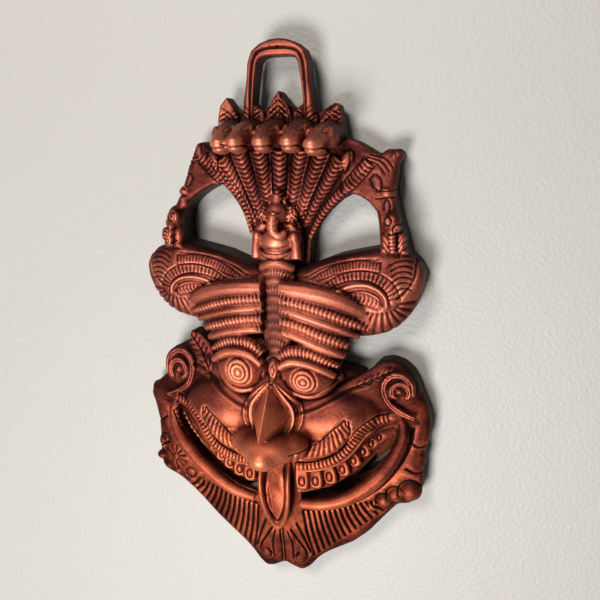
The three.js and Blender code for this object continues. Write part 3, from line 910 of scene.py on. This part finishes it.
def carve_arm(cut, tip_across, tip_drop):
    """The leaves and rings of a side arm, whose crest ends in a tip."""
    leaf = [(54.6, 78.5), (57.5, 75.8), (61.2, 79.6), (60.6, 84.6), (57, 83)]
    cut.line(leaf, 1.2, -1.1, (12, 26), closed=True)
    for shift in (0, 3.2, 6.4):
        start = (50.5 + shift * 0.6, 67.5 - shift * 0.4)
        middle = (58 + shift * 0.7, 70.2 - shift * 0.5)
        end = (63 + shift * 0.7, 76 - shift * 0.6)
        cut.line([start, middle, end], 1.2, -1, (12, 26))
    notch = ((-2, 6), (-1, 2.5), (1, 6))
    cut.line([(tip_across + a, tip_drop + d) for a, d in notch], 1, -0.9, (8, 24))
    for drop in (84.6, 88.6):
        cut.line([(58.5, drop + 0.8), (62, drop + 0.6), (69, drop)], 1.2, -1.2, (12, 28))
    cut.line([(63.4, 96), (63.4, 91), (65.4, 89.8), (67, 93), (66.4, 96.6)], 1.1, -1, (12, 30))
    for across, drop in ((66.2, 101.5), (72.2, 105.6)):
        cut.ring(across, drop, 2.5, 1.1, -1.1, (18, 34))
        cut.dot(across, drop, 0.9, -0.7, (18, 34))
    cut.ribs([(69.2, 108.5, 2.6), (69.6, 113, 2.6), (70.2, 120, 2.4)], 2.2, 1, edge=0.8, outs=(22, 36))
    for k in range(3):
        cut.line([(62.6, 108 + 4 * k), (65.5, 110 + 4 * k), (67, 113 + 4 * k)], 1.1, -0.9, (18, 34))
        cut.line([(77, 108.5 + 4 * k), (74.6, 110.5 + 4 * k), (72.6, 113.5 + 4 * k)], 1.1, -0.9, (18, 34))


def carve_wing(cut):
    """The feathers, which end where the brows begin."""
    cut.outs = (13, 40)
    cut.floor = ((0, 136), (20, 136.6), (33, 139), (45, 143.8), (53, 149), (57, 156), (60, 180))
    cut.line([(14, 139), (20, 134.5), (27, 130.5), (38, 126.2), (50, 123.9), (61.5, 123.4)], 1.4, -0.8)
    fine = [(21.5, 138.8, 1.4), (28, 134.2, 2), (38, 129.6, 2.6), (50, 126.9, 2.8), (62.5, 127.6, 2.8)]
    cut.ribs(fine, 2, 0.6, edge=0.7)
    wide = [
        (31, 140.4, 1.6), (38, 135.8, 2.3), (46, 133.2, 2.6), (55, 132.6, 2.8), (63, 134.8, 3),
        (69, 139.6, 3.2), (71.6, 146, 3.2),
    ]
    cut.ribs(wide, 2.5, 0.9, edge=0.9)
    cut.line([(37, 143), (44, 139.4), (53, 137.8), (61, 139.6), (66, 144), (66.8, 149)], 3.8, 1.6)
    cut.line([(40, 144.6), (48, 141.4), (56, 141.2), (62, 143.8), (64.4, 148)], 1.5, -1)
    almond = [(42.5, 145.2, 1.2), (48, 144.6, 2.4), (54, 145.4, 3), (60, 147.4, 2.6), (63, 149.8, 1.6)]
    cut.ribs(almond, 2.4, 0.9, slant=0.8, edge=0.7)
    for k in range(6):
        top = 123.6 + 3.1 * k
        inner = ((68.4 + 0.6 * k, top + 2.6), (72.6 + 0.3 * k, top + 0.4))
        cut.line([*inner, (77.4, top - 0.2), (80.6, top + 0.8)], 1.6, -0.9)
    cut.line([(81.6, 120.5), (82.8, 128), (81.2, 135.6), (77, 141), (73, 144.6)], 2.2, -1.6)
    for k in range(9):
        turn = math.radians(8 + 13 * k)
        start = (61 + 12.5 * math.cos(turn), 147 + 6.5 * math.sin(turn))
        end = (57 + 25 * math.cos(turn), 143.5 + 21.5 * math.sin(turn))
        cut.line([start, end], 3.2, -0.9)
    cut.floor = ()


def carve_brows(cut):
    """The ribs of every second brow and of the upper lid, and the rings of the eye."""
    cut.outs = (10, 60)
    for (line, half, _), pitch, sharp in ((BROWS[1], 2.5, 0.6), (BROWS[3], 2.5, 0.6), (LIDS[0], 2.3, 0.7)):
        cut.ribs(banded(line, [half] * len(line)), pitch, 0.9, sharp=sharp)
    for radius in (2.6, 5.2, 7.9):
        cut.ring(*EYE, radius, 2, -0.9, (20, 60))
    lower_lid = [(6.5, 193.5), (9, 199.6), (15, 203.6), (23, 204), (31, 200.8), (38.5, 193.6)]
    cut.line(lower_lid, 1.8, -1.2, (15, 60))


def carve_face(cut):
    """The moustache, the teeth, and the lines of the cheek, the lip, the scroll and the nose."""
    left = cut.side < 0
    cut.outs = (12, 80)
    cut.ribs(banded(MOUSTACHE, [3.1] * (len(MOUSTACHE) - 1)), 2.4, 1.2, edge=1.5)
    leaf = banded(LEAF, [half * 0.86 for half in LEAF_HALVES])
    cut.ribs(leaf, 3.4, 1.2, lean=2.6 * cut.side, edge=1.6)
    for across, drop, half in TEETH_LEFT if left else TEETH_RIGHT:
        cut.ring(across, drop + 2, half * 0.42, 1.2, -1.2, squash=1.5)
    cut.line(CHEEK_TOP, 3.4, -0.9)
    cut.line([(across - 0.6, drop + 3) for across, drop in CHEEK_TOP], 2.4, 0.4)
    if left:
        cut.line([(66, 229), (60.5, 238), (52, 247)], 1.4, -1.3)
        cut.ribs([(69.5, 226, 2.2), (63.5, 236.6, 2.6), (55.6, 246, 2.6)], 3.4, 1, bow=1.2, edge=1)
    cut.line(UNDER_LIP_LEFT if left else UNDER_LIP_RIGHT, 3, -2, (8, 40))
    across, drop = (68, 200.8) if left else (74, 201.4)
    ribbon = ((7.6, 3), (6.2, -6.4), (0, -11), (-7, -8.2), (-9.4, 0), (-6, 8.4), (1, 13.8), (10, 17.6))
    curl = ((4.6, 5), (5.4, -1), (1, -5.4), (-4, -2.4), (-4.2, 2.6))
    for line in (ribbon, curl):
        cut.line([(across + a, drop + d) for a, d in line], 1.2, -0.9, (8, 40))
    vein = ((44, 204.5), (52, 192), (61, 180)) if left else ((45, 201.6), (57, 195.6), (70, 188))
    cut.line(vein, 1.5, -1.2, (8, 30))
    path = smooth_path(vein, 3.4)
    for place in path[1:-1]:
        for step in ((4.6, 0.6), (-1.8, -4.6)) if left else ((4.4, 0.4), (1.4, -4)):
            cut.line([place, place + step], 1.2, -0.6, (8, 30))
    nose_frame = [(1.2, 198.6), (7.6, 205.6), (12.4, 212.6), (13.6, 219.6), (12.2, 225.6), (11.4, 227)]
    cut.line(nose_frame, 2.2, 1.6)
    for share, shift, width, height in ((1.16, 0.6, 1.8, -0.5), (1.32, 0.8, 2, 0.9)):
        cut.line([(across * share + shift, drop) for across, drop in nose_frame[:-1]], width, height)
    for crease in ([(80, 234.4), (86, 238), (92, 236)], [(79, 252.4), (85, 255), (91, 253)]):
        cut.line(crease, 1.8, -1.3, (5, 30))
    if not left:
        turns = np.radians(np.linspace(150, 330, 9))
        for across, drop, size in KNUCKLES:
            arc = [(across + size * math.cos(t), drop + size * math.sin(t)) for t in turns]
            cut.line(arc, 1.6, -1.2, (5, 30))


def carve_beard(cut):
    """The pleats and the curls, and on the left the open palm with its rings."""
    cut.outs = (5, 30)
    for k in range(14):
        start = (15 + 3.3 * k, 286.5 - 0.8 * k)
        end = (20.6 + 3.42 * k, 319.5 - 2.9 * k)
        middle = ((start[0] + end[0]) / 2 - 0.8, (start[1] + end[1]) / 2)
        cut.line([start, middle, end], 2.3, -1.5, (5, 34))
    curl = [(6.3, 301), (11.4, 309.6), (15.8, 317.5), (14.7, 324), (10.6, 325.3), (8, 322), (10.6, 318.5)]
    cut.line(curl, 1.9, -1.4)
    cut.line([(10.4, 296), (15, 307), (18.6, 317)], 2.4, -1.3)
    cut.line([(4.2, 303), (6.6, 312), (6.6, 324)], 1.8, -1.1)
    cut.line([(0.9, 301), (0.9, 326)], 1.6, -1.1)
    if cut.side < 0:
        for k in range(8):
            turn = math.radians(100 + 32 * k)
            finger = [(75 + reach * math.cos(turn), 262 + reach * math.sin(turn)) for reach in (2.6, 8.6)]
            cut.line(finger, 1.6, -1.1)
        for across, drop, radius in ((64, 272, 3.4), (57.4, 278, 3), (83, 250, 3.4)):
            cut.ring(across, drop, radius, 1.6, -0.9)


def carve_heads(cut):
    """The middle snake's scales, then each head's mouth, nostrils, eyes and crest."""
    cut.ribs(banded(fan_line(0), (5.2, 4, 2.6)), 3.1, 1.3, bow=2.2, edge=0.9, outs=(13, 24), sharp=0.6)
    for across, droop, turn in HEAD_PLACES:
        shift = across + turn * 0.55
        slit = ((-6.5, 59), (-3, 60.4), (0, 60.8), (3, 60.4), (6.5, 59))
        cut.line([(shift + a, d + droop) for a, d in slit], 1.3, -1.5, (36, 70))
        for side in (-1, 1):
            cut.dot(shift + side * 1.8, 55.2 + droop, 0.8, -0.6, (40, 70))
            near = across + turn * 0.4
            cut.ring(near + side * 4, 50 + droop, 1.7, 0.9, -0.8, (28, 48))
            for k in range(3):
                low = 40 + 3.0 * k + droop
                high = 37.5 + 3.0 * k + droop
                cut.line([(across + side * 0.8, low), (across + side * 5, high)], 1, -0.8, (16, 36))


def carve_figure(cut):
    """The seated figure: its niche, the folds of its belly, its trunk and its crown."""
    niche = ((-14.6, 112), (-11.8, 104), (-6, 95.6), (0, 89.6), (6, 95.6), (11.8, 104), (14.6, 112))
    cut.line(niche, 1.2, -1, (14, 24))
    cut.line([(a * 0.84, d + 2.2) for a, d in niche], 1, 0.6, (14, 24))
    for drop in (118.6, 121.6, 124.6):
        cut.line([(-8.4, drop - 1.8), (-4, drop), (4, drop), (8.4, drop - 1.8)], 1.2, -1, (24, 40))
    for k in range(4):
        cut.line([(-2.6, 101.6 + 3 * k), (0, 103.2 + 3 * k), (2.6, 101.6 + 3 * k)], 0.9, -0.6, (28, 40))
    cut.line([(-4.2, 97.6), (0, 98.8), (4.2, 97.6)], 1.1, -1, (24, 40))
    for side in (-1, 1):
        cut.dot(side * 2.6, 100.8, 1, -0.8, (26, 40))
        cut.line([(side * 6.6, 98), (side * 9.4, 101), (side * 7.6, 105)], 1, -0.8, (18, 34))


def carve_column(cut):
    """The column's ribs, the mark at its foot, and the tongue's border."""
    for k in range(5):
        drop = 133.6 + 10.4 * k
        arch = [(-8, drop + 1.4, 2.2), (COLUMN_MIDDLE, drop - 1.6, 2.2), (10.4, drop + 1.4, 2.2)]
        cut.ribs(arch, 1.9, 0.8, outs=(24, 46))
    petal = [(-4.6, 187), (0, 183.4), (4.6, 187), (2.6, 195), (0, 199.5), (-2.6, 195)]
    seed = [(0, 187.5), (1.5, 190.5), (0, 194.5), (-1.5, 190.5)]
    cut.line(petal, 1.1, -1.2, (24, 50), closed=True)
    cut.line(seed, 1, -1.2, (24, 50), closed=True)
    border = [(-6, 252), (-6.4, 268), (-4.8, 282), (0, 291.4), (4.8, 282), (6.4, 268), (6, 252)]
    cut.line(border, 1.6, -1.4, (26, 50))


# The finish


class Value:
    """A shader socket that takes part in sums written as Python expressions."""

    def __init__(self, shader, socket):
        self.shader = shader
        self.socket = socket

    def maths(self, operation, other):
        return self.shader.node("Math", {"operation": operation}, {0: self, 1: other})[0]

    def __add__(self, other):
        return self.maths("ADD", other)

    __radd__ = __add__

    def __mul__(self, other):
        return self.maths("MULTIPLY", other)

    __rmul__ = __mul__

    def __sub__(self, other):
        return self.maths("SUBTRACT", other)

    def __rsub__(self, other):
        return self.shader.node("Math", {"operation": "SUBTRACT"}, {0: other, 1: self})[0]

    def shifted(self, middle):
        """How far the value is from a middle, either way."""
        return (self + middle).maths("ABSOLUTE", 0)

    def clipped(self):
        return self.shader.node("Clamp", {}, {"Value": self})[0]


class Shader:
    """A material's node tree, built by one method."""

    def __init__(self, name):
        self.material = bpy.data.materials.new(name)
        self.material.use_nodes = True
        self.tree = self.material.node_tree
        self.tree.nodes.clear()
        self.output = self.tree.nodes.new("ShaderNodeOutputMaterial")

    def node(self, kind, settings, inputs):
        """Adds a node by its kind, sets it, fills or links its sockets, and gives back its outputs."""
        made = self.tree.nodes.new("ShaderNode" + kind)
        stops = settings.pop("stops", None)
        for key, value in settings.items():
            setattr(made, key, value)
        if stops:
            ramp = made.color_ramp.elements
            while len(ramp) < len(stops):
                ramp.new(1.0)
            for element, (place, colour) in zip(ramp, stops):
                element.position = place
                element.color = (*colour, 1.0)
        for key, value in inputs.items():
            if isinstance(value, Value):
                self.tree.links.new(value.socket, made.inputs[key])
            else:
                made.inputs[key].default_value = value
        return [Value(self, socket) for socket in made.outputs]

    def mix(self, factor, low, high, blend="MIX"):
        return self.node("Mix", {"data_type": "RGBA", "blend_type": blend}, {0: factor, 6: low, 7: high})[2]

    def noise(self, place, scale, detail, distortion=0.0):
        sockets = {"Vector": place, "Scale": scale, "Detail": detail, "Distortion": distortion}
        return self.node("TexNoise", {}, sockets)[0]

    def bump(self, height, strength, distance):
        return self.node("Bump", {}, {"Strength": strength, "Distance": distance, "Height": height})[0]

    def show(self, surface):
        self.tree.links.new(surface.socket, self.output.inputs["Surface"])


# From the deepest hollow, 0, to the most rubbed place, 1. The same scale also carries painted shade and
# painted light.
WEAR_AND_LIGHT_COLOURS = (
    (0.0, (0.011, 0.002, 0.0015)),
    (0.22, (0.050, 0.007, 0.005)),
    (0.44, (0.17, 0.034, 0.023)),
    (0.68, (0.40, 0.105, 0.066)),
    (1.0, (0.68, 0.21, 0.125)),
)
ORANGE_BELOW = (1.04, 0.86, 0.60, 1)
DUST_AND_SHADE = (0.10, 0.038, 0.030, 1)
FIGURE_DROP = 0.1  # in metres, as are all places in the materials
COLUMN_DROP = 0.152


def antique_brass():
    """Red-brown patina, dark in the hollows and rubbed to copper on what stands out. Painted shade darkens
    broad hollows and faces turned up; painted light brightens domes, front faces and the seated figure.
    """
    shader = Shader("antique_brass")
    fine = shader.node("Attribute", {"attribute_name": "sunk_fine"}, {})[2]
    broad = shader.node("Attribute", {"attribute_name": "sunk_broad"}, {})[2]
    place = shader.node("TexCoord", {}, {})[3]
    axes = shader.node("SeparateXYZ", {}, {0: place})
    facing = shader.node("SeparateXYZ", {}, {0: shader.node("NewGeometry", {}, {})[1]})
    blotch = shader.noise(place, 55.0, 5.0)
    grain = shader.noise(place, 800.0, 4.0)
    # fine darkens the patina in small hollows; broad is painted shade in broad hollows and painted light on
    # domes; the noises vary the tone at random.
    level = fine * 0.95 + broad * 0.14 + (blotch - 0.5) * 0.8 + (grain - 0.5) * 0.4
    # Painted light: the seated figure is painted lighter, as if more light fell on it.
    figure = (1 - axes[0].shifted(0) * 60).clipped() * (1 - axes[2].shifted(FIGURE_DROP) * 40).clipped()
    beard = (axes[2] * -4 - 1.1).clipped()
    # Painted shade and light: faces turned up are painted darker and faces turned to the front are painted
    # lighter.
    wear_and_painted_light = level + figure * 0.45 - facing[2] * 0.2 - facing[1] * 0.2
    # Lighter the further a place stands out from the back, and a little darker towards the bottom of the
    # beard.
    wear_and_painted_light = (wear_and_painted_light - axes[1] * 16 - beard + 0.06).clipped()
    colour = shader.node("ValToRGB", {"stops": WEAR_AND_LIGHT_COLOURS}, {"Fac": wear_and_painted_light})[0]
    low_down = (axes[2] * -12 - 1.9 + (blotch - 0.5) * 1.5).clipped()
    colour = shader.mix(low_down, colour, ORANGE_BELOW, "MULTIPLY")
    # Dust with painted shade darkens the faces turned up; the column's spine gets the same dark dusty
    # colour.
    dust_and_shade = (facing[2] * 0.9 - 0.2 + (blotch - 0.5) * 1.2).clipped()
    column_height = (0.9 - axes[2].shifted(COLUMN_DROP) * 22).clipped()
    spine = (1.25 - axes[0].shifted(0) * 110).clipped() * column_height
    colour = shader.mix((dust_and_shade * 0.42 + spine * 0.75).clipped(), colour, DUST_AND_SHADE)
    rough = 0.56 - 0.1 * wear_and_painted_light + (grain - 0.5) * 0.25 + spine * 0.3 + dust_and_shade * 0.15
    sockets = {
        "Base Color": colour,
        "Roughness": rough,
        "Normal": shader.bump(grain, 0.3, 0.0004),
        "Metallic": 0.75,
        "Specular IOR Level": 0.2,
    }
    shader.show(shader.node("BsdfPrincipled", {}, sockets)[0])
    return shader.material


def wall_finish():
    """Pale plaster that is seen only from the front, so that the mask's back can be looked at."""
    shader = Shader("pale_wall")
    place = shader.node("TexCoord", {}, {})[3]
    grain = shader.noise(place, 420.0, 6.0)
    crease = shader.noise(place, 22.0, 3.0, 1.2)
    bump = shader.bump(grain + crease, 0.35, 0.0012)
    sockets = {"Base Color": (0.44, 0.42, 0.387, 1), "Roughness": 0.5, "Normal": bump}
    plaster = shader.node("BsdfPrincipled", {}, sockets)[0]
    clear = shader.node("BsdfTransparent", {}, {})[0]
    behind = shader.node("NewGeometry", {}, {})[6]
    shader.show(shader.node("MixShader", {}, {0: behind, 1: plaster, 2: clear})[0])
    return shader.material


# The stage


def stage():
    """The wall that the mask hangs on, and a floor far below it."""
    back = BACK_PLANE * MILLIMETRE
    finish = wall_finish()
    bpy.ops.mesh.primitive_plane_add(size=4, location=(0, back + 0.0006, 0), rotation=(math.pi / 2, 0, 0))
    wall = bpy.context.object
    wall.name = "wall"
    wall.data.materials.append(finish)
    bpy.ops.mesh.primitive_plane_add(size=4, location=(0, back - 2.0, -1.2))
    floor = bpy.context.object
    floor.name = "floor"
    floor.data.materials.append(finish)


def light(name, place, size, power, colour):
    """A soft square light, aimed at the middle of the mask."""
    aim = (0, 0, -0.16)
    bpy.ops.object.light_add(type="AREA", location=place)
    lamp = bpy.context.object
    lamp.name = name
    lamp.data.size = size
    lamp.data.energy = power
    lamp.data.color = colour
    lamp.rotation_euler = (Vector(place) - Vector(aim)).to_track_quat("Z", "Y").to_euler()


def camera():
    """The photo's viewing angle, found from the mask's proportions in it."""
    yaw = 0.292
    pitch = 0.2014
    roll = 0.0052
    reach = 0.4707
    aim = Vector((0.00713, BACK_PLANE * MILLIMETRE, (LOOP_THICK - 154.7) * MILLIMETRE))
    back = Vector((math.sin(yaw) * math.cos(pitch), -math.cos(yaw) * math.cos(pitch), math.sin(pitch)))
    bpy.ops.object.camera_add(location=aim + back * reach)
    eye = bpy.context.object
    eye.name = "camera"
    eye.data.lens = 45
    eye.data.sensor_width = 36
    turn = (-back).to_track_quat("-Z", "Y").to_matrix() @ Matrix.Rotation(-roll, 3, "Z")
    eye.rotation_euler = turn.to_euler()
    bpy.context.scene.camera = eye


def make_mask():
    bpy.ops.object.select_all(action="DESELECT")
    for builders, spacing, rounds in (  # the spacing of the group's skin, and the rounds of easing
        ((hanging_loop,), 0.7, 4),
        ((snake_fan,), 0.6, 3),
        ((snake_heads,), 0.6, 6),
        ((arms,), 0.7, 6),
        ((seated_figure,), 0.5, 3),
        ((wing,), 1.0, 16),
        ((brow_stack,), 0.6, 2),
        ((eyes,), 0.7, 3),
        ((column,), 0.6, 4),
        ((face_plate, cheeks, nose), 1.0, 22),
        ((scrolls, fists, beard), 0.7, 3),
        ((moustache, tongue, lip), 0.6, 3),
    ):
        first = len(parts)
        for build in builders:
            build()
        soften(first, spacing, rounds)
        if face_plate in builders:
            combined(parts[-1], mouth_opening(), "DIFFERENCE")
    nose_pyramid()
    teeth()
    cut = fuse(hollows(), 0.9)
    whole = fuse(joined(parts, "mask_casting"), SKIN)
    combined(whole, cut, "DIFFERENCE")
    combined(whole, mouth_floor(), "UNION")
    carving = Carving(whole)
    carve(carving)
    carving.finish()
    thinned(whole, carving)
    return whole


def thinned(whole, carving):
    """Stores the sunk values on the skin, and brings it down to its triangle budget."""
    mesh = whole.data
    for name, values in (("sunk_fine", carving.sunk_fine), ("sunk_broad", carving.sunk_broad)):
        layer = mesh.attributes.new(name, "FLOAT", "POINT")
        layer.data.foreach_set("value", values.astype(np.float32))
    mesh.calc_loop_triangles()
    ratio = TRIANGLES / len(mesh.loop_triangles)
    if ratio < 1:
        decimate = whole.modifiers.new("thin", "DECIMATE")
        decimate.ratio = ratio
        bpy.context.view_layer.objects.active = whole
        bpy.ops.object.modifier_apply(modifier=decimate.name)


camera()
mask = make_mask()
mask.data.transform(Matrix.Translation(Vector((0, BACK_PLANE, LOOP_THICK))))
mask.data.transform(Matrix.Scale(MILLIMETRE, 4))
mask.data.materials.clear()
mask.data.materials.append(antique_brass())
bpy.ops.object.select_all(action="DESELECT")
mask.select_set(True)
bpy.context.view_layer.objects.active = mask
bpy.ops.object.shade_smooth()
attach(mask, "root")
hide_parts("mask")

stage()
light("key_light", (-0.22, -1.05, -0.68), 0.42, 16, (0.98, 0.99, 1.0))
light("ceiling_light", (-0.24, -1.05, 0.52), 0.4, 11, (1.0, 0.97, 0.92))
world = bpy.data.worlds.new("room")
world.use_nodes = True
glow = world.node_tree.nodes["Background"].inputs
glow["Color"].default_value = (1.0, 0.98, 0.95, 1)
glow["Strength"].default_value = 0.09
bpy.context.scene.world = world
bpy.context.scene.view_settings.view_transform = "Standard"
